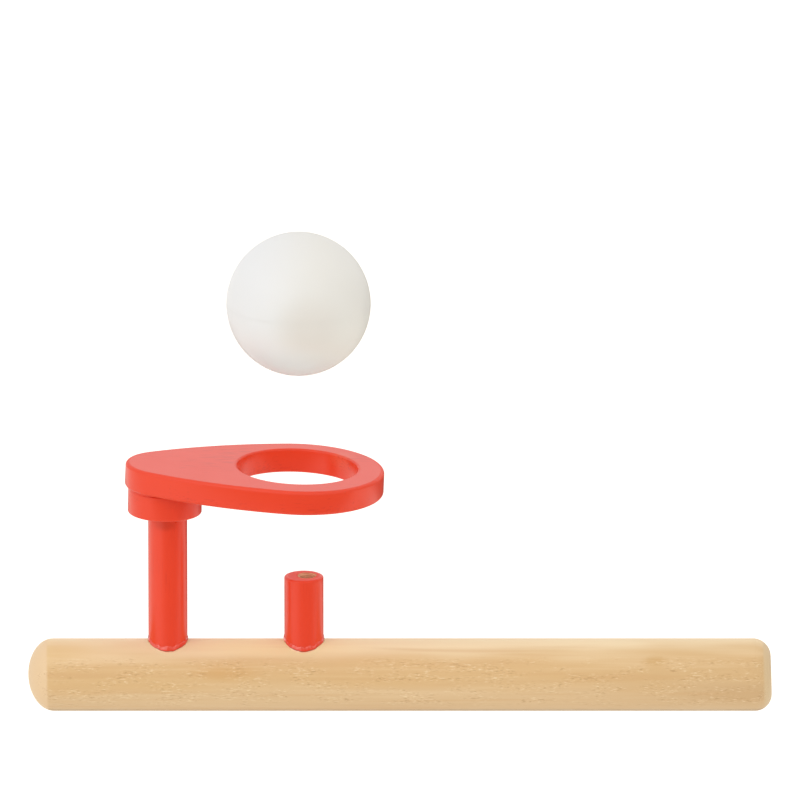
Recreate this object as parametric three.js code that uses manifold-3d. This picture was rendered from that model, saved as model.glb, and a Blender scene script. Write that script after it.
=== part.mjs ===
// A blow pipe toy with a hovering ball, in millimetres, +Z up.
// The player blows into a wooden pipe and the air leaves through an upright nozzle.
// Its jet carries a light ball over a painted hoop, which catches the ball when the breath stops.
// The origin is the centre of the mouth end. The player is on the +X side and the pipe runs towards -X.

import * as THREE from 'three';
import { mergeVertices } from 'three/addons/utils/BufferGeometryUtils.js';
import Module from 'manifold-3d';

const wasm = await Module();
wasm.setup();

// Pipe: a turned dowel, domed at its closed end and drilled from its mouth end
const pipeDiameter = 20.3;
const mouthToNozzle = 130.95;
const nozzleToPost = 38;
const postToClosedEnd = 39.1;
const closedEndDome = 7.1;
const mouthRounding = 4.85;
const boreDiameter = 8;
const boreRimRounding = 0.4;
const borePastNozzle = 6;

// Nozzle: a short dowel over the bore, with a jet hole drilled a little off its centre
const nozzleDiameter = 10.95;
const nozzleHeight = 19;
const nozzleTopRounding = 1;
const jetDiameter = 4.2;
const jetOffset = 0.8;
const jetRimChamfer = 0.4;

// Post: a dowel from a blind socket in the pipe, through the collar and into the hoop
const postDiameter = 10.9;
const postHeight = 37.4;
const postSocketDepth = 10;

// Collar: a disc round the post that widens the hoop's glued seat, set a little off the post's axis
const collarWidth = 4.85;
const collarThickness = 6.9;
const collarOffset = 0.8;
const collarEdgeChamfer = 0.5;

// Hoop: a teardrop board. Its hole is a little smaller than the ball and was drilled a little off centre.
const hoopThickness = 6.85;
const hoopEdgeRounding = 0.9;
const hoopOverhang = 1.8;
const hoopFlankRadius = 110;
const hoopRimWidth = 7.1;
const ringShortOfNozzle = 1.8;
const ballSeatLap = 3.2;
const holeTowardsPost = 0.5;
const holeSetBack = 1.1;

// Ball: two thin half shells welded at a level seam, held up by the jet
const ballDiameter = 40.2;
const ballWall = 0.45;
const ballHover = 37;

// Fits and finish that several pieces share
const glueClearance = 0.3;
const dowelEndChamfer = 0.6;
const cutOverrun = 2;

// Angles and shares
const collarDroop = THREE.MathUtils.degToRad(1);
const hoopDroop = THREE.MathUtils.degToRad(2.2);
const drillPointHalfAngle = THREE.MathUtils.degToRad(59);
const nozzleFloorShare = 0.75;
const tenonDepthShare = 0.55;
const mouthWallShare = 0.85;

// Facets
const pipeSides = 64;
const dowelSides = 48;
const ballSides = 40;
const domeSteps = 9;
const mouthSteps = 6;
const roundingSteps = 4;
const hoopEdgeSteps = 3;
const ballSteps = 10;
const hoopArcSteps = 18;

// Sizes and places that follow
const pipeRadius = pipeDiameter / 2;
const boreRadius = boreDiameter / 2;
const nozzleRadius = nozzleDiameter / 2;
const postRadius = postDiameter / 2;
const collarRadius = postRadius + collarWidth;
const hoopPostEndRadius = collarRadius + hoopOverhang;
const ballRadius = ballDiameter / 2;
const ballInnerRadius = ballRadius - ballWall;
const nozzleX = -mouthToNozzle;
const postX = nozzleX - nozzleToPost;
const closedEndX = postX - postToClosedEnd;
const nozzleFloorZ = boreRadius * nozzleFloorShare;
const nozzleTopZ = pipeRadius + nozzleHeight;
const postFloorZ = pipeRadius - postSocketDepth;
const collarBaseZ = pipeRadius + postHeight;
const glueWedge = (collarRadius + collarOffset) * Math.abs(Math.tan(hoopDroop) - Math.tan(collarDroop));
const hoopBaseRise = collarThickness + glueClearance + glueWedge;
const tenonRise = hoopBaseRise + hoopThickness * tenonDepthShare;
const hoopReach = nozzleToPost - ringShortOfNozzle;
const hoopHoleX = hoopReach - holeTowardsPost;
const hoopHoleRadius = ballRadius - ballSeatLap;
const hoopRingRadius = hoopHoleRadius + hoopRimWidth;

// The quarter turns that profiles are drawn with
const outwards = 0;
const upwards = Math.PI / 2;
const inwards = Math.PI;
const downwards = -Math.PI / 2;

// A solid from a closed geometry: shared corners are merged and collapsed triangles are dropped.
function solidFrom(geometry) {
  geometry.deleteAttribute('normal');
  geometry.deleteAttribute('uv');
  const merged = mergeVertices(geometry);
  const corners = merged.index.array;
  const kept = [];
  for (let i = 0; i < corners.length; i += 3) {
    const [a, b, c] = corners.slice(i, i + 3);
    if (a !== b && b !== c && c !== a) {
      kept.push(a, b, c);
    }
  }
  return new wasm.Manifold(new wasm.Mesh({
    numProp: 3,
    vertProperties: new Float32Array(merged.attributes.position.array),
    triVerts: new Uint32Array(kept),
  }));
}

// The geometry of a solid, once all its cuts are made.
function geometryFrom(solid) {
  const mesh = solid.getMesh();
  const geometry = new THREE.BufferGeometry();
  geometry.setAttribute('position', new THREE.BufferAttribute(new Float32Array(mesh.vertProperties), 3));
  geometry.setIndex(new THREE.BufferAttribute(new Uint32Array(mesh.triVerts), 1));
  geometry.computeVertexNormals();
  return geometry;
}

// A body turned about +Z. The profile is a list of [radius, height], up its outside and down its inside.
function turned(profile, sides) {
  const points = profile.map(([radius, height]) => new THREE.Vector2(radius, height));
  return new THREE.LatheGeometry(points, sides).rotateX(Math.PI / 2);
}

// Profile points along an elliptical arc.
function arc(centreRadius, centreHeight, halfWidth, halfHeight, from, to, steps) {
  const points = [];
  for (let i = 0; i <= steps; i += 1) {
    const angle = THREE.MathUtils.lerp(from, to, i / steps);
    points.push([
      centreRadius + halfWidth * Math.cos(angle),
      centreHeight + halfHeight * Math.sin(angle),
    ]);
  }
  return points;
}

// A round cutting tool about +Z.
function drill(radius, fromZ, toZ) {
  return turned([[0, fromZ], [radius, fromZ], [radius, toZ], [0, toZ]], dowelSides);
}

// The pipe is turned along +X from its closed end to its mouth, with its bore in the same profile.
// Both sockets are drilled down into it, and the nozzle's floor breaks into the bore.
function pipe() {
  const mouthWall = pipeRadius - boreRadius - boreRimRounding;
  const shoulder = Math.min(mouthRounding, mouthWall * mouthWallShare);
  const boreEnd = nozzleX - borePastNozzle;
  const drillPoint = boreRadius / Math.tan(drillPointHalfAngle);
  const profile = [
    ...arc(0, closedEndX + closedEndDome, pipeRadius, closedEndDome, downwards, outwards, domeSteps),
    ...arc(pipeRadius - shoulder, -mouthRounding, shoulder, mouthRounding, outwards, upwards, mouthSteps),
    ...arc(boreRadius + boreRimRounding, -boreRimRounding, boreRimRounding, boreRimRounding,
      upwards, inwards, roundingSteps),
    [boreRadius, boreEnd],
    [0, boreEnd - drillPoint],
  ];
  const blank = turned(profile, pipeSides).rotateY(Math.PI / 2);
  const nozzleSocket = drill(nozzleRadius + glueClearance, nozzleFloorZ, pipeRadius + cutOverrun);
  const postSocket = drill(postRadius + glueClearance, postFloorZ, pipeRadius + cutOverrun);
  const drilled = solidFrom(blank)
    .subtract(solidFrom(nozzleSocket.translate(nozzleX, 0, 0)))
    .subtract(solidFrom(postSocket.translate(postX, 0, 0)));
  return geometryFrom(drilled);
}

// The nozzle stands on the shoulders of its socket, its chamfered foot over the bore.
// The jet hole runs right through, with its rim opened out at the top.
function nozzle() {
  const foot = nozzleFloorZ + glueClearance;
  const dowel = turned([
    [0, foot],
    [nozzleRadius - dowelEndChamfer, foot],
    [nozzleRadius, foot + dowelEndChamfer],
    ...arc(nozzleRadius - nozzleTopRounding, nozzleTopZ - nozzleTopRounding, nozzleTopRounding,
      nozzleTopRounding, outwards, upwards, roundingSteps),
    [0, nozzleTopZ],
  ], dowelSides);
  const jetRadius = jetDiameter / 2;
  const jet = turned([
    [0, foot - cutOverrun],
    [jetRadius, foot - cutOverrun],
    [jetRadius, nozzleTopZ - jetRimChamfer],
    [jetRadius + jetRimChamfer + cutOverrun, nozzleTopZ + cutOverrun],
    [0, nozzleTopZ + cutOverrun],
  ], dowelSides);
  return geometryFrom(solidFrom(dowel).subtract(solidFrom(jet.translate(jetOffset, 0, 0))));
}

// The post is one plain dowel with both ends chamfered. Its foot is in the pipe and its top is in the hoop.
function post() {
  const foot = postFloorZ + glueClearance;
  const top = collarBaseZ + tenonRise;
  return turned([
    [0, foot],
    [postRadius - dowelEndChamfer, foot],
    [postRadius, foot + dowelEndChamfer],
    [postRadius, top - dowelEndChamfer],
    [postRadius - dowelEndChamfer, top],
    [0, top],
  ], dowelSides);
}

// The holes for the post were drilled askew, which is why collar and hoop droop, each by its own angle.
// A hole is cut here as the upright post meets the drooping piece.
function postHole(droop) {
  return drill(postRadius + glueClearance, -cutOverrun, tenonRise + glueClearance).rotateY(-droop);
}

function collar() {
  const disc = turned([
    [0, 0],
    [collarRadius - collarEdgeChamfer, 0],
    [collarRadius, collarEdgeChamfer],
    [collarRadius, collarThickness - collarEdgeChamfer],
    [collarRadius - collarEdgeChamfer, collarThickness],
    [0, collarThickness],
  ], dowelSides);
  disc.translate(-collarOffset, 0, 0);
  return geometryFrom(solidFrom(disc).subtract(solidFrom(postHole(collarDroop))));
}

// The outline is four arcs: one round the post, one round the ring, and two long flanks, bowed a little.
// Each flank's centre lies beyond the other flank, where its arc runs smoothly into both round ends.
function teardrop() {
  const toPostEnd = hoopFlankRadius - hoopPostEndRadius;
  const toRing = hoopFlankRadius - hoopRingRadius;
  const flankX = (toPostEnd ** 2 - toRing ** 2 + hoopReach ** 2) / (2 * hoopReach);
  const flankY = Math.sqrt(toPostEnd ** 2 - flankX ** 2);
  const postEndAngle = Math.atan2(flankY, -flankX);
  const ringAngle = Math.atan2(flankY, hoopReach - flankX);
  const outline = new THREE.Shape();
  outline.absarc(0, 0, hoopPostEndRadius, postEndAngle, 2 * Math.PI - postEndAngle, false);
  outline.absarc(flankX, flankY, hoopFlankRadius, -postEndAngle, -ringAngle, false);
  outline.absarc(hoopReach, 0, hoopRingRadius, -ringAngle, ringAngle, false);
  outline.absarc(flankX, -flankY, hoopFlankRadius, ringAngle, postEndAngle, false);
  outline.closePath();
  const hole = new THREE.Path();
  hole.absarc(hoopHoleX, holeSetBack, hoopHoleRadius, 0, 2 * Math.PI, true);
  outline.holes.push(hole);
  return outline;
}

// The hoop is sawn from a board, its edges and the ball's seat sanded round, and its post hole is blind.
function hoopPlate() {
  const board = new THREE.ExtrudeGeometry(teardrop(), {
    depth: hoopThickness - 2 * hoopEdgeRounding,
    curveSegments: hoopArcSteps,
    bevelThickness: hoopEdgeRounding,
    bevelSize: hoopEdgeRounding,
    bevelOffset: -hoopEdgeRounding,
    bevelSegments: hoopEdgeSteps,
  });
  board.translate(0, 0, hoopBaseRise + hoopEdgeRounding);
  return geometryFrom(solidFrom(board).subtract(solidFrom(postHole(hoopDroop))));
}

// Each half of the ball is a bowl of even wall, and their flat edges meet at the seam.
function ballLowerHalf() {
  return turned([
    ...arc(0, 0, ballRadius, ballRadius, downwards, outwards, ballSteps),
    ...arc(0, 0, ballInnerRadius, ballInnerRadius, outwards, downwards, ballSteps),
  ], ballSides);
}

function ballUpperHalf() {
  return turned([
    ...arc(0, 0, ballInnerRadius, ballInnerRadius, upwards, outwards, ballSteps),
    ...arc(0, 0, ballRadius, ballRadius, outwards, upwards, ballSteps),
  ], ballSides);
}

const bareWood = { color: '#e2bd8f', roughness: 0.62, metalness: 0 };
const redPaint = { color: '#e8482c', roughness: 0.42, metalness: 0 };
const whitePlastic = { color: '#f3efe9', roughness: 0.48, metalness: 0 };

function piece(name, geometry, finish) {
  const mesh = new THREE.Mesh(geometry, new THREE.MeshStandardMaterial(finish));
  mesh.name = name;
  return mesh;
}

// Collar and hoop droop about the post, at the collar's underside. The glue between them is a thin wedge.
function drooping(mesh, droop) {
  mesh.position.set(postX, 0, collarBaseZ);
  mesh.rotation.y = droop;
  return mesh;
}

// The ball hovers straight over its seat, where it would touch the sanded rim of the hoop's hole all round.
function hoveringBall() {
  const rimToBall = ballRadius + hoopEdgeRounding;
  const rimToAxis = hoopHoleRadius + hoopEdgeRounding;
  const seatRise = Math.sqrt(rimToBall ** 2 - rimToAxis ** 2) - hoopEdgeRounding;
  const seat = new THREE.Vector3(hoopHoleX, holeSetBack, hoopBaseRise + hoopThickness + seatRise);
  seat.applyAxisAngle(new THREE.Vector3(0, 1, 0), hoopDroop);
  const ball = new THREE.Group();
  ball.position.set(postX + seat.x, seat.y, collarBaseZ + seat.z + ballHover);
  ball.add(piece('ball_lower_half', ballLowerHalf(), whitePlastic));
  ball.add(piece('ball_upper_half', ballUpperHalf(), whitePlastic));
  return ball;
}

function nozzlePiece() {
  const mesh = piece('nozzle', nozzle(), redPaint);
  mesh.position.x = nozzleX;
  return mesh;
}

function postPiece() {
  const mesh = piece('post', post(), redPaint);
  mesh.position.x = postX;
  return mesh;
}

const toy = new THREE.Group();
toy.add(piece('pipe', pipe(), bareWood));
toy.add(nozzlePiece());
toy.add(postPiece());
toy.add(drooping(piece('collar', collar(), redPaint), collarDroop));
toy.add(drooping(piece('hoop_plate', hoopPlate(), redPaint), hoopDroop));
toy.add(hoveringBall());

export default toy;
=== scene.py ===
"""A blow pipe toy: a turned beech pipe, a painted nozzle, post, collar and hoop, and a white ball held up by
the breath."""

import math

import bpy
from mathutils import Matrix, Vector, noise


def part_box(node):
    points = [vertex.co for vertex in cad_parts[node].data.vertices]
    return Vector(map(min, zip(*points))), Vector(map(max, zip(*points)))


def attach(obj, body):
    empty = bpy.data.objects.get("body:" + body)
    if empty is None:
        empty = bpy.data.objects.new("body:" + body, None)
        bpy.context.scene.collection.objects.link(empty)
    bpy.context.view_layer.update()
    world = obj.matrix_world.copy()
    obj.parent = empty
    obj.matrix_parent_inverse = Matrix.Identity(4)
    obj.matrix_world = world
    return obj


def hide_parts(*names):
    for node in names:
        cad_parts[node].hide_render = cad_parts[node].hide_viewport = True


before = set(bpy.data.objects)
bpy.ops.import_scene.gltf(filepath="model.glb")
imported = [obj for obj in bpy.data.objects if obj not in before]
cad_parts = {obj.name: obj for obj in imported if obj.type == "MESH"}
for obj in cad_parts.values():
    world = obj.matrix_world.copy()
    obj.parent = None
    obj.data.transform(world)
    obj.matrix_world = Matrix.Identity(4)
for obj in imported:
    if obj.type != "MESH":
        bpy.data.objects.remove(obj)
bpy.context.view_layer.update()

# Sizes are in millimetres, and become metres when a mesh is made.
MM = 0.001

# Places and sizes read from the CAD parts in model.glb
pipe_low, pipe_high = (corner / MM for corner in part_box("pipe"))
nozzle_low, nozzle_high = (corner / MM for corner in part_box("nozzle"))
post_low, post_high = (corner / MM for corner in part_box("post"))
collar_low, collar_high = (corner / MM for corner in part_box("collar"))
half_low, half_high = (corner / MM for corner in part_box("ball_lower_half"))

PIPE_RADIUS = pipe_high.z
CLOSED_END = pipe_low.x
NOZZLE_X = (nozzle_low.x + nozzle_high.x) / 2
NOZZLE_RADIUS = (nozzle_high.x - nozzle_low.x) / 2
POST_X = (post_low.x + post_high.x) / 2
POST_RADIUS = (post_high.x - post_low.x) / 2
COLLAR_RADIUS = (collar_high.y - collar_low.y) / 2
BALL_RADIUS = half_high.z - half_low.z
BALL_CENTRE = Vector(((half_low.x + half_high.x) / 2, (half_low.y + half_high.y) / 2, half_high.z))

# Pipe, whose ends are sanded a little askew
CLOSED_END_DOME = 7.1
CLOSED_END_LEAN = 0.018
MOUTH_ROUNDING = 4.85
MOUTH_LEAN = 0.03
BORE_RADIUS = 4
BORE_RIM = 0.4
BORE_PAST_NOZZLE = 6
DRILL_POINT = 2.4
NOZZLE_FLOOR = 3
POST_FLOOR = 0
SOCKET_FIT = 0.05

# Its wood: the way across the grain, which runs a little askew, how far the grain wanders, and soft oval
# marks, each with its place, its size, how strong it is and its colour. The first mark is a painted
# highlight, a pale band along the top towards the closed end, where the light falls
GRAIN_ACROSS = (-0.008, 0, 1)
GRAIN_WANDER = 9
WOOD_MARKS_AND_HIGHLIGHT = (
    ((-139, -3, 9.6), (34, 9, 4), 0.6, "#F7E2AC"),
    ((-203, -5, 8), (22, 8, 4.5), 0.8, "#E3C08A"),
    ((-153, -9, 3.6), (13, 9, 3.2), 0.55, "#D5A564"),
    ((-5, -6, 0), (70, 14, 14), 0.35, "#CFAD7E"),
    ((-8, -9.9, -2.6), (24, 7, 4.5), 0.5, "#CBA575"),
    ((-32.8, -7.9, 6.1), (5, 2.5, 2.5), 0.5, "#C99A55"))

# Nozzle, whose top is sanded a little short, and post
NOZZLE_SHOULDER = (0.9, 0.5)
NOZZLE_SANDED = 0.2
JET_RADIUS = 2.1
JET_SHIFT = 0.8
JET_RIM = 0.4
DOWEL_CHAMFER = 0.6

# Collar and hoop, each turned by its own droop about the post at the collar's underside
COLLAR_UNDERSIDE = 47.55
HEAD_BASE = Matrix.Translation((POST_X, 0, COLLAR_UNDERSIDE))
COLLAR_DROOP = math.radians(1)
COLLAR_PLACE = HEAD_BASE @ Matrix.Rotation(COLLAR_DROOP, 4, "Y")
COLLAR_SHIFT = -0.8
COLLAR_THICKNESS = 6.9
COLLAR_EDGE = 0.5
COLLAR_JOINED_EDGE = 0.15
HOOP_DROOP = math.radians(2.2)
HOOP_PLACE = HEAD_BASE @ Matrix.Rotation(HOOP_DROOP, 4, "Y")
HOOP_RISE = 7.433
HOOP_THICKNESS = 6.85
HOOP_EDGE = 0.9

# The hoop's outline, with its ring's distance from the post and the radii of its arcs, and the ball's hole
HOOP_REACH = 36
HOOP_POST_END = 12.2
HOOP_RING = 24
HOOP_FLANK = 110
HOLE_CENTRE = Vector((35.7, 1.1, 0))
HOLE_RADIUS = 16.9
HOLE_EDGE = 0.6

# The seam between collar and hoop, which is open along part of the front only
SEAM_GROOVE = 0.4
SEAM_FRONT = math.radians(-97)
SEAM_NARROWS = 8

# Soft oval marks in the paint, as on the wood: a painted shadow of the collar on the post under it,
# and painted light on the right wall of the ball's hole
POST_PAINTED_SHADOW = (((-169.6, -5, 45.2), (4.5, 6, 2.4), 1, "#DA3916"),)
HOLE_PAINTED_LIGHT = (((-120.5, 12.5, 59), (6, 6, 4), 0.9, "#EE5638"),)

# How worn the paint is, from 0, whole, to 1, bare: on sanded edges, on the nozzle's shoulder, on the collar,
# and on the nozzle's top at so many rims' width out from the jet hole
EDGE_WEAR = 0.3
SHOULDER_WEAR = 0.1
COLLAR_WEAR = 0.05
JET_WEAR = ((2.4, 0.35), (1.4, 0.6), (1, 0.9))

# The narrow border that keeps a flat face flat beside a rounded edge
FLAT_MARGIN = 0.25

# Ball, with soft oval marks as on the wood, placed from its centre: painted shade in the middle of its
# front, and a painted cool tint underneath against the red light bounced up off the hoop
BALL_WALL = 0.45
BALL_PAINTED_LIGHT = (
    ((3, -19, -2), (12, 12, 12), 0.8, "#E7E2DB"),
    ((-3, -11, -17), (20, 17, 13), 0.85, "#E6F6FA"))

# Beads of glue squeezed out round the feet of the nozzle and the post, and how often their width and height
# change round a foot
BEAD_WIDTH = 0.65
BEAD_HEIGHT = 1.2
BEAD_SUNK = 0.3
BEAD_WIDTH_CHANGES = 2.6
BEAD_HEIGHT_CHANGES = 3.4

# How many sides round things have, and the steps over a small sanded edge
PIPE_SIDES = 144
DOWEL_SIDES = 96
DISC_SIDES = 128
SEAT_SIDES = 96
BEAD_SIDES = 160
BALL_SIDES = 128
EDGE_STEPS = 6

# Directions in a profile, as angles from outwards
OUT, UP, IN, DOWN = 0, 90, 180, -90

# The setting with which a Map Range node goes over softly
SMOOTH = {"interpolation_type": "SMOOTHSTEP"}


def linear(hex_colour):
    """A linear colour with full alpha from an sRGB hex value."""
    channels = (int(hex_colour[i:i + 2], 16) / 255 for i in (1, 3, 5))
    return (*(c / 12.92 if c <= 0.04045 else ((c + 0.055) / 1.055) ** 2.4 for c in channels), 1)


def per_metre(size):
    """How often a feature of this size (x, y, z) in millimetres comes in a metre, each way."""
    return tuple(1 / (s * MM) for s in size)


def arc(centre, half_width, half_height, start, stop, steps):
    """Profile points (radius, height) along part of an ellipse round a centre."""
    points = []
    for i in range(steps + 1):
        angle = math.radians(start + (stop - start) * i / steps)
        radius = centre[0] + half_width * math.cos(angle)
        points.append((max(radius, 0), centre[1] + half_height * math.sin(angle)))
    return points


def evenly(start, stop, steps):
    """Profile points between two others, with the first one and without the last."""
    return [tuple(a + (b - a) * i / steps for a, b in zip(start, stop)) for i in range(steps)]


def loops(profile, sides, shift=0, wear=0):
    """Round loops of a turned shape, each with how worn its paint is. A shift moves them off the axis."""
    made = []
    for radius, height in profile:
        turns = (2 * math.pi * i / sides for i in range(sides))
        ring = [Vector((shift + radius * math.cos(t), radius * math.sin(t), height)) for t in turns]
        made.append((ring, wear))
    return made


def solid(name, rings, place=Matrix.Identity(4), closes_on_itself=True):
    """A closed mesh from rings of points joined one to the next. A ring with no width becomes one point."""
    points, wear, indices = [], [], []
    for ring, worn in rings:
        width = max((point - ring[0]).length for point in ring)
        count = len(ring) if width > 1e-6 else 1
        indices.append([len(points) + i % count for i in range(len(ring))])
        points += [place @ point * MM for point in ring[:count]]
        wear += [worn] * count
    pairs = list(zip(indices, indices[1:]))
    if closes_on_itself:
        pairs.append((indices[-1], indices[0]))
    faces = []
    for lower, upper in pairs:
        for i in range(len(lower)):
            j = (i + 1) % len(lower)
            corners = list(dict.fromkeys((lower[i], lower[j], upper[j], upper[i])))
            if len(corners) > 2:
                faces.append(corners)
    mesh = bpy.data.meshes.new(name)
    mesh.from_pydata(points, [], faces)
    mesh.attributes.new("wear", "FLOAT", "POINT").data.foreach_set("value", wear)
    piece = bpy.data.objects.new(name, mesh)
    bpy.context.scene.collection.objects.link(piece)
    return piece


def smooth(piece, sharp_above=40):
    """Smooth shading that keeps an edge sharper than this many degrees."""
    piece.data.shade_smooth()
    piece.data.set_sharp_from_angle(angle=math.radians(sharp_above))


def drilled(piece, *drills):
    """Cuts each drill's shape out of a piece and clears the drills away."""
    for drill in drills:
        cut = piece.modifiers.new("cut", "BOOLEAN")
        cut.operation = "DIFFERENCE"
        cut.solver = "EXACT"
        cut.object = drill
    bpy.context.view_layer.update()
    evaluated = piece.evaluated_get(bpy.context.evaluated_depsgraph_get())
    mesh = bpy.data.meshes.new_from_object(evaluated)
    piece.modifiers.clear()
    piece.data = mesh
    for drill in drills:
        bpy.data.objects.remove(drill)


def finish_piece(piece, body, slot, node, *materials):
    """Gives a piece its materials and its body, and hides the CAD node that it stands for, if any. The slot
    is not used.
    """
    for material in materials:
        piece.data.materials.append(material)
    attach(piece, body)
    if node:
        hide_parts(node)


def add(tree, kind, inputs=None, **settings):
    """Adds a node with its settings, and sets its inputs to values or links them.

    An input is linked to a socket, or to the first output in use of another node."""
    made = tree.nodes.new("ShaderNode" + kind)
    for name, value in settings.items():
        setattr(made, name, value)
    for name, value in (inputs or {}).items():
        if isinstance(value, bpy.types.Node):
            value = next(socket for socket in value.outputs if socket.enabled)
        if isinstance(value, bpy.types.NodeSocket):
            tree.links.new(value, made.inputs[name])
        else:
            made.inputs[name].default_value = value
    return made


def new_material(name):
    """A material with an empty tree, and the tree."""
    material = bpy.data.materials.new(name)
    material.use_nodes = True
    material.node_tree.nodes.clear()
    return material, material.node_tree


def cloudy(tree, size, detail=2, seed=0):
    """Soft noise from about 0.3 to 0.7, whose features have this size (x, y, z) in millimetres."""
    place = add(tree, "TexCoord").outputs["Object"]
    scaled = add(tree, "Mapping", {"Vector": place, "Scale": per_metre(size),
                                   "Location": (seed, seed * 1.7, seed * 2.3)})
    return add(tree, "TexNoise", {"Vector": scaled, "Scale": 1, "Detail": detail, "Roughness": 0.55})


def tinted(tree, colour, tint, value, low, high, most=1):
    """A colour that goes over to a tint, by no more than most, as a value goes from low to high.

    Inputs 6 and 7 of a Mix node are its two colours."""
    share = add(tree, "MapRange", {"Value": value, "From Min": low, "From Max": high, "To Max": most},
                **SMOOTH)
    return add(tree, "Mix", {"Factor": share, 6: colour, 7: linear(tint)}, data_type="RGBA")


def marked(tree, colour, marks):
    """A colour with soft oval marks on it, each strongest at its place and gone where its size ends."""
    for place, size, most, tint in marks:
        here = add(tree, "TexCoord").outputs["Object"]
        off = add(tree, "VectorMath", {0: here, 1: tuple(p * MM for p in place)}, operation="SUBTRACT")
        scaled = add(tree, "VectorMath", {0: off, 1: per_metre(size)}, operation="MULTIPLY")
        away = add(tree, "VectorMath", {0: scaled}, operation="LENGTH")
        colour = tinted(tree, colour, tint, away, 1, 0.2, most)
    return colour


def sanded_beech():
    """Beech dowel, turned, sanded and left bare.

    It gives the eye a pale cream with broad soft bands along the grain, and on the quartered sides the short
    light and dark flecks that tell beech from other pale woods. The rounded ends cut across the grain and
    look paler."""
    material, tree = new_material("sanded_beech")
    place = add(tree, "TexCoord").outputs
    width, rise = add(tree, "SeparateXYZ", {0: place["Object"]}).outputs[1:3]

    # Lighter along the top and a little paler below the middle, each with a wandering edge
    askew = add(tree, "VectorMath", {0: place["Object"], 1: GRAIN_ACROSS}, operation="DOT_PRODUCT")
    wander = add(tree, "Math", {0: cloudy(tree, (55, 9, 9)), 1: 0.5}, operation="SUBTRACT")
    level = add(tree, "Math", {0: wander, 1: GRAIN_WANDER * MM, 2: askew}, operation="MULTIPLY_ADD")
    colour = tinted(tree, linear("#DDB884"), "#F2DAB2", level, 6 * MM, 11.5 * MM)
    colour = tinted(tree, colour, "#DFBF93", level, 2.5 * MM, -2.5 * MM)
    # Soft oval marks, the first of them a painted highlight along the top
    colour = marked(tree, colour, WOOD_MARKS_AND_HIGHLIGHT)
    # Painted shade: darker along the underside
    colour = tinted(tree, colour, "#A88A60", rise, -7.6 * MM, -9.2 * MM, 0.7)
    bands = cloudy(tree, (60, 8, 1.8), 2, seed=3)
    colour = tinted(tree, colour, "#D6AC78", bands, 0.5, 0.72, 0.4)
    colour = tinted(tree, colour, "#EDD0A6", bands, 0.5, 0.28, 0.3)

    # End grain, where the surface turns towards the closed end and towards the mouth
    facing = add(tree, "SeparateXYZ", {0: place["Normal"]}).outputs["X"]
    colour = tinted(tree, colour, "#EACBA2", facing, -0.24, -0.42)
    colour = tinted(tree, colour, "#DABF95", facing, 0.48, 0.66)

    # Flecks, in clusters, on the front and the back
    side = add(tree, "Math", {0: width}, operation="ABSOLUTE")
    clusters = add(tree, "MapRange", {"Value": cloudy(tree, (9, 3, 3), 2, 9), "From Min": 0.4,
                                      "From Max": 0.62}, **SMOOTH)
    quartered = add(tree, "MapRange", {"Value": side, "From Min": 6.4 * MM, "From Max": 9 * MM,
                                       "To Max": clusters}, **SMOOTH)
    flecks = cloudy(tree, (1.5, 0.3, 0.3), 1, seed=1)
    dark, light = (add(tree, "MapRange", {"Value": flecks, "From Min": low, "From Max": high,
                                          "To Max": quartered}, **SMOOTH)
                   for low, high in ((0.57, 0.7), (0.43, 0.3)))
    for fleck, most, tint in ((dark, 0.42, "#A87844"), (light, 0.5, "#F6E2BC")):
        share = add(tree, "Math", {0: fleck, 1: most}, operation="MULTIPLY")
        colour = add(tree, "Mix", {"Factor": share, 6: colour, 7: linear(tint)}, data_type="RGBA")

    # Fibres left by sanding, with the dark flecks a little below them
    fibres = cloudy(tree, (6, 0.22, 0.22), 3, seed=12)
    height = add(tree, "Math", {0: dark, 1: -0.5, 2: fibres}, operation="MULTIPLY_ADD")
    bump = add(tree, "Bump", {"Height": height, "Strength": 0.25, "Distance": 0.06 * MM})
    roughness = add(tree, "MapRange", {"Value": fibres, "From Min": 0.2, "From Max": 0.8, "To Min": 0.48,
                                       "To Max": 0.68}, **SMOOTH)
    shader = add(tree, "BsdfPrincipled", {"Base Color": colour, "Roughness": roughness, "IOR": 1.5,
                                          "Sheen Weight": 0.12, "Sheen Roughness": 0.4, "Normal": bump})
    add(tree, "OutputMaterial", {"Surface": shader})
    return material


def drilled_beech():
    """Beech cut by a drill and left raw.

    It gives the eye a darker, browner wood, with fine rings round the hole."""
    material, tree = new_material("drilled_beech")
    rings = add(tree, "MapRange", {"Value": cloudy(tree, (3, 3, 0.25), 2, seed=2), "From Min": 0.4,
                                   "From Max": 0.65}, **SMOOTH)
    colour = add(tree, "Mix", {"Factor": rings, 6: linear("#EDB68E"), 7: linear("#CC8B68")}, data_type="RGBA")
    bump = add(tree, "Bump", {"Height": rings, "Strength": 0.4, "Distance": 0.08 * MM})
    shader = add(tree, "BsdfPrincipled", {"Base Color": colour, "Roughness": 0.78, "IOR": 1.5,
                                          "Normal": bump})
    add(tree, "OutputMaterial", {"Surface": shader})
    return material


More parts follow.
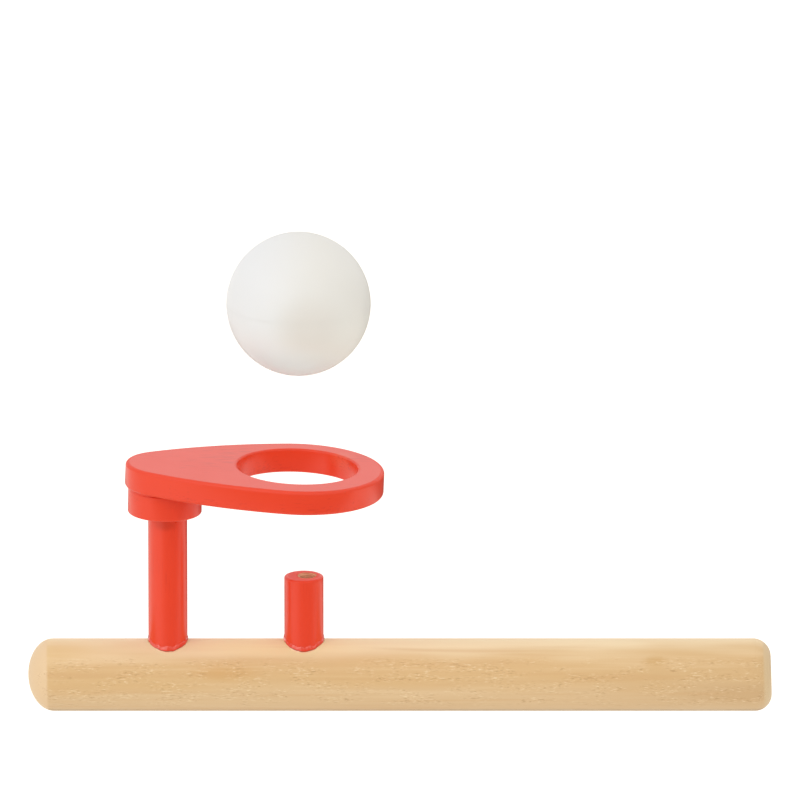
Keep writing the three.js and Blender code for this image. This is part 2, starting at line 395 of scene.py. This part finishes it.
def red_paint_on(name, grain, patches, depth, marks):
    """Beech under one thin dipped coat of satin red paint.

    It gives the eye a warm even red with a soft sheen, in which fine streaks of grain show more in some
    patches. Bare wood shows only where an edge or a drilled rim has lost its paint, and worn paint is duller.
    Grain is the size of a streak along each axis, drawn a little coarser than real so that it shows, patches
    is the size of those patches, and depth is how dark the streaks are."""
    material, tree = new_material(name)

    # Paint, a little uneven
    mottle = cloudy(tree, (11, 11, 11), 2, seed=1)
    colour = add(tree, "Mix", {"Factor": mottle, 6: linear("#EE401B"), 7: linear("#E93C19")},
                 data_type="RGBA")
    # Painted light and shade given with the material: a shadow on the post, light in the hoop's hole
    colour = marked(tree, colour, marks)

    # Grain under it
    streaks = cloudy(tree, grain, 2, seed=4)
    more = add(tree, "Math", {0: cloudy(tree, patches, 0, seed=8), 1: 0.45, 2: streaks},
               operation="MULTIPLY_ADD")
    colour = tinted(tree, colour, "#B92617", more, 0.8, 1, depth)

    # Bare wood, with a ragged edge
    worn = add(tree, "Attribute", attribute_name="wear").outputs["Fac"]
    ragged = add(tree, "Math", {0: cloudy(tree, (0.9, 0.9, 0.9), 3, seed=7), 1: worn}, operation="ADD")
    colour = tinted(tree, colour, "#C99668", ragged, 1.02, 1.12)

    # The grain and a faint peel in the paint's skin, and its sheen
    peel = cloudy(tree, (0.8, 0.8, 0.8), 2, seed=11)
    height = add(tree, "Math", {0: streaks, 1: 1.6, 2: peel}, operation="MULTIPLY_ADD")
    bump = add(tree, "Bump", {"Height": height, "Strength": 0.16, "Distance": 0.05 * MM})
    satin = add(tree, "Math", {0: mottle, 1: 0.06, 2: 0.26}, operation="MULTIPLY_ADD")
    roughness = add(tree, "Math", {0: worn, 1: 0.6, 2: satin}, operation="MULTIPLY_ADD")
    shader = add(tree, "BsdfPrincipled", {"Base Color": colour, "Roughness": roughness, "IOR": 1.5,
                                          "Normal": bump})
    add(tree, "OutputMaterial", {"Surface": shader})
    return material


def moulded_white_plastic():
    """Thin white plastic moulded smooth.

    It gives the eye a clean white with a soft satin sheen and a faint haze. Its colour is painted cooler on
    the left and warmer on the right, as the light falls, with painted shade in the middle of the front and a
    painted cool tint underneath against the red light bounced up off the hoop."""
    material, tree = new_material("moulded_white_plastic")
    across = add(tree, "SeparateXYZ", {0: add(tree, "TexCoord").outputs["Object"]}).outputs["X"]
    # Painted light: cooler on the left, warmer on the right
    cool, painted_warm_side = (BALL_CENTRE.x - 15) * MM, (BALL_CENTRE.x + 8) * MM
    colour = tinted(tree, linear("#EFF0F2"), "#ECEAE4", across, cool, painted_warm_side)
    # Painted shade on the front, and painted cool light underneath
    colour = marked(tree, colour, [(BALL_CENTRE + Vector(off), *look) for off, *look in BALL_PAINTED_LIGHT])
    haze = cloudy(tree, (14, 14, 14), 2, seed=3)
    roughness = add(tree, "MapRange", {"Value": haze, "From Min": 0.35, "From Max": 0.65, "To Min": 0.42,
                                       "To Max": 0.5}, **SMOOTH)
    grain = cloudy(tree, (0.5, 0.5, 0.5), 2, seed=6)
    bump = add(tree, "Bump", {"Height": grain, "Strength": 0.08, "Distance": 0.03 * MM})
    light_sinks_in = tuple(depth * MM for depth in (2, 1.8, 1.6))
    shader = add(tree, "BsdfPrincipled", {"Base Color": colour, "Roughness": roughness, "IOR": 1.5,
                                          "Subsurface Weight": 0.2, "Subsurface Radius": light_sinks_in,
                                          "Subsurface Scale": 1, "Normal": bump})
    add(tree, "OutputMaterial", {"Surface": shader})
    return material


def hardened_glue():
    """White wood glue dried clear over paint and wood.

    It gives the eye a wet gloss that climbs the painted dowel and shows its red, a brown line of painted
    shade in the corner, and a thin honey rim where the glue ran out over the wood. The wear of a bead's
    points is how far out they are."""
    material, tree = new_material("hardened_glue")
    out = add(tree, "Attribute", attribute_name="wear").outputs["Fac"]
    ragged = add(tree, "Math", {0: cloudy(tree, (1.5, 1.5, 1.5), 2, seed=5), 1: 0.3, 2: out},
                 operation="MULTIPLY_ADD")
    # A brown line of painted shade in the corner, then the honey rim of glue on the wood
    colour = tinted(tree, linear("#E8452B"), "#9E3C26", ragged, 0.45, 0.58)
    colour = tinted(tree, colour, "#F7C6A0", ragged, 0.62, 0.76)
    lumps = cloudy(tree, (1.3, 1.3, 1.3), 2, seed=2)
    bump = add(tree, "Bump", {"Height": lumps, "Strength": 1, "Distance": 0.25 * MM})
    roughness = add(tree, "MapRange", {"Value": lumps, "From Min": 0.2, "From Max": 0.9, "To Max": 0.3},
                    **SMOOTH)
    shader = add(tree, "BsdfPrincipled", {"Base Color": colour, "Roughness": roughness, "IOR": 1.48,
                                          "Coat Weight": 1, "Coat Roughness": 0.05, "Coat IOR": 1.5,
                                          "Normal": bump, "Coat Normal": bump})
    add(tree, "OutputMaterial", {"Surface": shader})
    return material


beech = sanded_beech()
raw_beech = drilled_beech()
painted_dowel = red_paint_on("red_painted_dowel", (0.4, 0.4, 7), (8, 8, 20), 0.15, POST_PAINTED_SHADOW)
painted_board = red_paint_on("red_painted_board", (5, 0.6, 0.4), (20, 12, 6), 0.28, HOLE_PAINTED_LIGHT)
white_plastic = moulded_white_plastic()
glue = hardened_glue()


def make_pipe():
    """The pipe, turned in one profile from its closed end round to its bore, with both sockets drilled."""
    along = Matrix.Rotation(math.radians(90), 4, "Y")
    dome_base = CLOSED_END + CLOSED_END_DOME
    corner = -MOUTH_ROUNDING
    bore_end = NOZZLE_X - BORE_PAST_NOZZLE
    outside = arc((0, dome_base), PIPE_RADIUS, CLOSED_END_DOME, DOWN, OUT, 24)[:-1]
    outside += evenly((PIPE_RADIUS, dome_base), (PIPE_RADIUS, corner), 96)
    outside += arc((PIPE_RADIUS - MOUTH_ROUNDING, corner), MOUTH_ROUNDING, MOUTH_ROUNDING, OUT, UP, 16)
    outside += [(PIPE_RADIUS - MOUTH_ROUNDING - FLAT_MARGIN, 0), (BORE_RADIUS + BORE_RIM + FLAT_MARGIN, 0)]
    outside += arc((BORE_RADIUS + BORE_RIM, -BORE_RIM), BORE_RIM, BORE_RIM, UP, IN, EDGE_STEPS)
    inside = [(BORE_RADIUS, -2 * BORE_RIM), (BORE_RADIUS, bore_end), (0, bore_end - DRILL_POINT)]
    pipe = solid("turned_pipe", loops(outside + inside, PIPE_SIDES), along, closes_on_itself=False)
    for vertex in pipe.data.vertices:
        place = vertex.co / MM
        if place.x < dome_base:
            vertex.co.x -= CLOSED_END_LEAN * place.z * MM
        elif place.x > corner:
            vertex.co.x -= MOUTH_LEAN * (place.z + PIPE_RADIUS) * MM
    sockets = []
    clear = PIPE_RADIUS * 1.2
    for x, radius, floor in ((NOZZLE_X, NOZZLE_RADIUS, NOZZLE_FLOOR), (POST_X, POST_RADIUS, POST_FLOOR)):
        fit = radius + SOCKET_FIT
        bit = loops([(0, floor), (fit, floor), (fit, clear), (0, clear)], DOWEL_SIDES)
        sockets.append(solid("bit", bit, Matrix.Translation((x, 0, 0)), closes_on_itself=False))
    drilled(pipe, *sockets)
    smooth(pipe)
    finish_piece(pipe, "toy", "bare_wood", "pipe", beech)


def make_nozzle():
    """The nozzle, its jet hole a little off centre, its rim worn bare by the drill."""
    foot, top = nozzle_low.z, nozzle_high.z - NOZZLE_SANDED
    width, height = NOZZLE_SHOULDER
    side = [(NOZZLE_RADIUS - DOWEL_CHAMFER, foot)]
    side += evenly((NOZZLE_RADIUS, foot + DOWEL_CHAMFER), (NOZZLE_RADIUS, top - height), 24)
    shoulder = arc((NOZZLE_RADIUS - width, top - height), width, height, OUT, UP, 10)
    face_edge = [(NOZZLE_RADIUS - width - FLAT_MARGIN, top)]
    rings = loops(side, DOWEL_SIDES) + loops(shoulder, DOWEL_SIDES, wear=SHOULDER_WEAR)
    rings += loops(face_edge, DOWEL_SIDES, wear=EDGE_WEAR)
    for rims, wear in JET_WEAR:
        rings += loops([(JET_RADIUS + JET_RIM * rims, top)], DOWEL_SIDES, JET_SHIFT, wear)
    hole = [(JET_RADIUS, top - JET_RIM)] + evenly((JET_RADIUS, top - JET_RIM * 2), (JET_RADIUS, foot), 12)
    rings += loops(hole + [(JET_RADIUS, foot)], DOWEL_SIDES, JET_SHIFT, 1)
    nozzle = solid("nozzle_dowel", rings, Matrix.Translation((NOZZLE_X, 0, 0)))
    smooth(nozzle)
    finish_piece(nozzle, "toy", "red_paint", "nozzle", painted_dowel, raw_beech)
    rim_radius = (JET_RADIUS + JET_RIM) * MM
    axis = Vector(((NOZZLE_X + JET_SHIFT) * MM, 0))
    for face in nozzle.data.polygons:
        in_hole = (face.center.xy - axis).length < rim_radius and abs(face.normal.z) < 0.9
        face.material_index = 1 if in_hole else 0


def make_post():
    """The post, a plain dowel from its socket in the pipe up into the hoop."""
    foot, top = post_low.z, post_high.z
    profile = [(0, foot), (POST_RADIUS - DOWEL_CHAMFER, foot)]
    profile += evenly((POST_RADIUS, foot + DOWEL_CHAMFER), (POST_RADIUS, top - DOWEL_CHAMFER), 48)
    profile += [(POST_RADIUS, top - DOWEL_CHAMFER), (POST_RADIUS - DOWEL_CHAMFER, top), (0, top)]
    post = solid("post_dowel", loops(profile, DOWEL_SIDES), Matrix.Translation((POST_X, 0, 0)),
                 closes_on_itself=False)
    smooth(post)
    finish_piece(post, "toy", "red_paint", "post", painted_dowel)


def make_collar():
    """The collar, a disc with sanded edges whose hole follows the upright post through its droop."""
    edge = COLLAR_EDGE
    flat = COLLAR_RADIUS - edge - FLAT_MARGIN
    under = [(flat, 0)] + arc((COLLAR_RADIUS - edge, edge), edge, edge, DOWN, OUT, EDGE_STEPS)
    joined = COLLAR_JOINED_EDGE
    over = arc((COLLAR_RADIUS - joined, COLLAR_THICKNESS - joined), joined, joined, OUT, UP, 4)
    rings = loops(under + over + [(flat, COLLAR_THICKNESS)], DISC_SIDES, COLLAR_SHIFT, COLLAR_WEAR)
    hole = POST_RADIUS + SOCKET_FIT
    for height in (COLLAR_THICKNESS, 0):
        rings += loops([(hole, height)], DISC_SIDES, -height * math.tan(COLLAR_DROOP))
    collar = solid("collar_disc", rings, COLLAR_PLACE)
    smooth(collar)
    finish_piece(collar, "toy", "red_paint", "collar", painted_board)


def teardrop(inset):
    """Points round the hoop's outline, set in by this much.

    It is one arc at the post, one round the ring, and a long bowed flank on each side."""
    to_post_end, to_ring = HOOP_FLANK - HOOP_POST_END, HOOP_FLANK - HOOP_RING
    flank_x = (to_post_end ** 2 - to_ring ** 2 + HOOP_REACH ** 2) / (2 * HOOP_REACH)
    flank_y = math.sqrt(to_post_end ** 2 - flank_x ** 2)
    post_end, ring = math.atan2(flank_y, -flank_x), math.atan2(flank_y, HOOP_REACH - flank_x)
    points = []
    for centre, radius, start, stop, steps in (
            ((0, 0), HOOP_POST_END, post_end, 2 * math.pi - post_end, 56),
            ((flank_x, flank_y), HOOP_FLANK, -post_end, -ring, 28),
            ((HOOP_REACH, 0), HOOP_RING, -ring, ring, 160),
            ((flank_x, -flank_y), HOOP_FLANK, ring, post_end, 28)):
        reach = radius - inset
        for i in range(steps):
            angle = start + (stop - start) * i / steps
            x, y = centre[0] + reach * math.cos(angle), centre[1] + reach * math.sin(angle)
            points.append(Vector((x, y, 0)))
    return points


def sanded_side(edge):
    """Levels up the hoop's side: how far each stands back, where it is and how worn its paint is."""
    low, high = HOOP_RISE, HOOP_RISE + HOOP_THICKNESS
    profile = [(-FLAT_MARGIN, low)] + arc((0, low + edge), edge, edge, DOWN, OUT, EDGE_STEPS)
    profile += arc((0, high - edge), edge, edge, OUT, UP, EDGE_STEPS) + [(-FLAT_MARGIN, high)]
    return [(edge - out, Vector((0, 0, level)), EDGE_WEAR if 0 < out < edge else 0)
            for out, level in profile]


def make_hoop():
    """The hoop, a sawn teardrop board with a sanded edge outside and round the ball's hole."""
    directions = [(point - HOLE_CENTRE).normalized() for point in teardrop(0)]
    outer = [([point + rise for point in teardrop(back)], worn)
             for back, rise, worn in sanded_side(HOOP_EDGE)]
    inner = [([HOLE_CENTRE + way * (HOLE_RADIUS + back) + rise for way in directions], worn / 2)
             for back, rise, worn in sanded_side(HOLE_EDGE)]
    hoop = solid("hoop_board", outer + inner[::-1], HOOP_PLACE)
    smooth(hoop)
    finish_piece(hoop, "toy", "red_paint", "hoop_plate", painted_board)


def make_seat_glue():
    """The wedge of glue between collar and hoop, painted over, with a groove left open along the front."""
    rings = []
    for place, height, shares in ((COLLAR_PLACE, COLLAR_THICKNESS - SOCKET_FIT, (0, 1)),
                                  (HOOP_PLACE, HOOP_RISE + SOCKET_FIT, (1, 0))):
        for share in shares:
            ring = []
            for i in range(SEAT_SIDES):
                turn = 2 * math.pi * i / SEAT_SIDES
                groove = SEAM_GROOVE * max(0, math.cos(turn - SEAM_FRONT)) ** SEAM_NARROWS
                reach = share * (COLLAR_RADIUS - groove)
                point = Vector((COLLAR_SHIFT + reach * math.cos(turn), reach * math.sin(turn), height))
                ring.append(place @ point)
            rings.append((ring, 0))
    seat = solid("hoop_seat_glue", rings, closes_on_itself=False)
    smooth(seat)
    finish_piece(seat, "toy", "red_paint", None, painted_board)


def on_pipe(way, reach, lift):
    """A point this way and this far out from a dowel's axis, this much above the pipe's round side."""
    across = min(abs(reach * way.y), PIPE_RADIUS * 0.98)
    return way * reach + Vector((0, 0, math.sqrt(PIPE_RADIUS ** 2 - across ** 2) + lift))


def make_bead(name, x, radius, seed):
    """A bead of glue round the foot of a dowel, following the saddle where it meets the round pipe.

    It is widest at the front and the back, where it ran down the pipe, and uneven all round."""
    bulge = arc((0, 0), 1, 1, OUT, UP, 8)
    rings = []
    for i in range(BEAD_SIDES):
        turn = 2 * math.pi * i / BEAD_SIDES
        way = Vector((math.cos(turn), math.sin(turn), 0))
        wider = abs(noise.noise(way * BEAD_WIDTH_CHANGES + Vector((seed, 0, 0))))
        higher = noise.noise(way * BEAD_HEIGHT_CHANGES + Vector((0, seed, 0)))
        width = BEAD_WIDTH * (0.3 + 0.6 * abs(way.y) + 0.3 * wider)
        height = BEAD_HEIGHT * (1 + 0.6 * higher)
        section = [on_pipe(way, radius - BEAD_SUNK, height), on_pipe(way, radius - BEAD_SUNK, -BEAD_SUNK),
                   on_pipe(way, radius + width, -BEAD_SUNK)]
        section += [on_pipe(way, radius + width * out, height * up) for out, up in bulge]
        rings.append((section, 0))
    bead = solid(name, rings, Matrix.Translation((x, 0, 0)))
    outness = [0, 0, 1] + [(1 - up) ** 2 for out, up in bulge]
    bead.data.attributes["wear"].data.foreach_set("value", outness * BEAD_SIDES)
    smooth(bead, 60)
    finish_piece(bead, "toy", "red_paint", None, glue)


def make_ball_half(name, node, poles):
    """Half of the ball's thin shell, outside and inside, from its seam to its pole."""
    bottom, top = poles
    inner = BALL_RADIUS - BALL_WALL
    outside = arc((0, 0), BALL_RADIUS, BALL_RADIUS, bottom, top, 40)
    inside = arc((0, 0), inner, inner, top, bottom, 40)
    profile = outside + inside if bottom == DOWN else inside + outside
    half = solid(name, loops(profile, BALL_SIDES), Matrix.Translation(BALL_CENTRE), closes_on_itself=False)
    half.data.shade_smooth()
    centre = BALL_CENTRE * MM
    middle = (BALL_RADIUS - BALL_WALL / 2) * MM
    normals = []
    for face in half.data.polygons:
        on_seam = abs(face.center.z - centre.z) < 1e-7
        outer = (face.center - centre).length > middle
        for corner in face.vertices:
            way = (half.data.vertices[corner].co - centre).normalized()
            normals.append(face.normal.copy() if on_seam else way if outer else -way)
    half.data.normals_split_custom_set(normals)
    finish_piece(half, "ball", "white_plastic", node, white_plastic)


make_pipe()
make_nozzle()
make_post()
make_collar()
make_hoop()
make_seat_glue()
make_bead("nozzle_glue_bead", NOZZLE_X, NOZZLE_RADIUS, 2)
make_bead("post_glue_bead", POST_X, POST_RADIUS, 5)
make_ball_half("ball_lower_shell", "ball_lower_half", (DOWN, OUT))
make_ball_half("ball_upper_shell", "ball_upper_half", (OUT, UP))


# The studio: a pale floor below the toy, which is held in the air as in use, and soft light all round
FLOOR_DROP = 75
FLOOR_REACH = 6000
FLOOR_GLOW = 0.4
WORLD_LIGHT = 0.9
TOY_MIDDLE = (-110, 0, 50)
SOFT_BOXES = (
    ("key_soft_box", (-900, -950, 900), 1100, 3.4),
    ("fill_soft_box", (700, -1000, 900), 900, 1.6))

# What reflections see. Dark cards lie on the floor in front and behind, and their soft edges are given from
# the toy's middle: on a slant and in depth from dark to pale, then in depth and across from pale to dark. The
# room is dim in front and brightens towards the back left.
DIM = 0.12
SLANT = (-0.7, 0.7, 0)
FRONT_CARD_SLANT = (-250, 50)
FRONT_CARD_DEPTH = (-220, -120)
BACK_CARD_DEPTH = (200, 330)
BACK_CARD_ACROSS = (-330, -180)
BRIGHT_WAY = (-0.7, 0.7, 0.5)

# The photograph's frame
PIXELS = 800
PIXELS_PER_MM = 3.576
CAMERA_ELEVATION = math.radians(16.5)
CAMERA_LENS = 1000
SENSOR = 36
PIPE_MIDDLE_PIXEL = Vector((400.28, 674.55))


def make_floor():
    """A pale floor, which the camera and reflections see as white, with the toy's soft shadow on it.

    In front of the toy and behind it reflections see a dark card instead, which keeps the paint deep and the
    edges of the dowels clear."""
    material, tree = new_material("pale_floor")
    ways = add(tree, "LightPath").outputs
    middle = (TOY_MIDDLE[0] * MM, 0, 0)
    here = add(tree, "TexCoord").outputs["Object"]
    off = add(tree, "VectorMath", {0: here, 1: middle}, operation="SUBTRACT")
    slant = add(tree, "VectorMath", {0: off, 1: SLANT}, operation="DOT_PRODUCT")
    across, depth = add(tree, "SeparateXYZ", {0: off}).outputs[:2]
    beside, beyond, behind, along = (
        add(tree, "MapRange", {"Value": value, "From Min": low * MM, "From Max": high * MM}, **SMOOTH)
        for value, (low, high) in ((slant, FRONT_CARD_SLANT), (depth, FRONT_CARD_DEPTH),
                                   (depth, BACK_CARD_DEPTH), (across, BACK_CARD_ACROSS)))
    off_front_card = add(tree, "Math", {0: beside, 1: beyond}, operation="MAXIMUM")
    on_back_card = add(tree, "Math", {0: behind, 1: along}, operation="MULTIPLY")
    bright = add(tree, "Math", {0: off_front_card, 1: on_back_card}, operation="SUBTRACT", use_clamp=True)
    mirrored = add(tree, "Math", {0: ways["Is Glossy Ray"], 1: bright}, operation="MULTIPLY")
    straight = add(tree, "Math", {0: ways["Is Camera Ray"], 1: ways["Is Transmission Ray"]},
                   operation="MAXIMUM")
    seen = add(tree, "Math", {0: straight, 1: mirrored}, operation="MAXIMUM")
    strength = add(tree, "Math", {0: seen, 1: FLOOR_GLOW}, operation="MULTIPLY")
    matte = add(tree, "BsdfDiffuse", {"Color": linear("#F4F1EA")})
    glow = add(tree, "Emission", {"Color": (1, 1, 1, 1), "Strength": strength})
    pale = add(tree, "AddShader", {0: matte, 1: glow})
    dark = add(tree, "Math", {0: ways["Is Glossy Ray"], 1: mirrored}, operation="SUBTRACT")
    card = add(tree, "Emission", {"Color": (1, 1, 1, 1), "Strength": DIM})
    add(tree, "OutputMaterial", {"Surface": add(tree, "MixShader", {0: dark, 1: pale, 2: card})})
    low = (pipe_low.z - FLOOR_DROP) * MM
    reach = FLOOR_REACH * MM
    corners = [(-reach, -reach, low), (reach, -reach, low), (reach, reach, low), (-reach, reach, low)]
    mesh = bpy.data.meshes.new("floor")
    mesh.from_pydata(corners, [], [(0, 1, 2, 3)])
    mesh.materials.append(material)
    floor = bpy.data.objects.new("floor", mesh)
    bpy.context.scene.collection.objects.link(floor)


def make_world():
    """A white backdrop for the camera, and a soft even light.

    Reflections see white behind, above and to the left, and the dim side of the room in front and to the
    right."""
    world = bpy.data.worlds.new("studio")
    bpy.context.scene.world = world
    world.use_nodes = True
    tree = world.node_tree
    tree.nodes.clear()
    ways = add(tree, "LightPath").outputs
    towards = add(tree, "TexCoord").outputs["Generated"]
    back_left = add(tree, "VectorMath", {0: towards, 1: BRIGHT_WAY}, operation="DOT_PRODUCT")
    reflected = add(tree, "MapRange", {"Value": back_left, "From Min": -0.7, "From Max": 0.15, "To Min": DIM},
                    **SMOOTH)
    white = add(tree, "Background", {"Color": (1, 1, 1, 1), "Strength": 1})
    mirrored = add(tree, "Background", {"Color": (1, 1, 1, 1), "Strength": reflected})
    soft = add(tree, "Background", {"Color": linear("#FFFDFA"), "Strength": WORLD_LIGHT})
    lit = add(tree, "MixShader", {0: ways["Is Glossy Ray"], 1: soft, 2: mirrored})
    straight = add(tree, "Math", {0: ways["Is Camera Ray"], 1: ways["Is Transmission Ray"]},
                   operation="MAXIMUM")
    add(tree, "OutputWorld", {"Surface": add(tree, "MixShader", {0: straight, 1: lit, 2: white})})


def make_soft_box(name, place, size, watts):
    """A square soft box at a place, this wide, both in millimetres, turned to the toy."""
    lamp = bpy.data.lights.new(name, "AREA")
    lamp.size = size * MM
    lamp.energy = watts
    box = bpy.data.objects.new(name, lamp)
    bpy.context.scene.collection.objects.link(box)
    box.location = Vector(place) * MM
    box.rotation_euler = (Vector(TOY_MIDDLE) - Vector(place)).to_track_quat("-Z", "Y").to_euler()


def make_camera():
    """A long lens, almost square on, placed to put the pipe's middle on its pixel in the photograph."""
    scene = bpy.context.scene
    camera = bpy.data.cameras.new("camera")
    camera.lens = CAMERA_LENS
    camera.sensor_width = SENSOR
    view = bpy.data.objects.new("camera", camera)
    scene.collection.objects.link(view)
    scene.camera = view
    distance = PIXELS * CAMERA_LENS / SENSOR / PIXELS_PER_MM
    back = Vector((0, -math.cos(CAMERA_ELEVATION), math.sin(CAMERA_ELEVATION)))
    up = Vector((0, math.sin(CAMERA_ELEVATION), math.cos(CAMERA_ELEVATION)))
    middle = Vector(((pipe_low.x + pipe_high.x) / 2, 0, 0))
    offset = PIPE_MIDDLE_PIXEL - Vector((PIXELS / 2, PIXELS / 2))
    target = middle + (up * offset.y - Vector((1, 0, 0)) * offset.x) / PIXELS_PER_MM
    view.location = (target + back * distance) * MM
    view.rotation_euler = (-back).to_track_quat("-Z", "Y").to_euler()
    camera.clip_start = distance * MM / 10
    camera.clip_end = distance * MM * 10


make_floor()
make_world()
for soft_box in SOFT_BOXES:
    make_soft_box(*soft_box)
make_camera()
bpy.context.scene.view_settings.view_transform = "Standard"
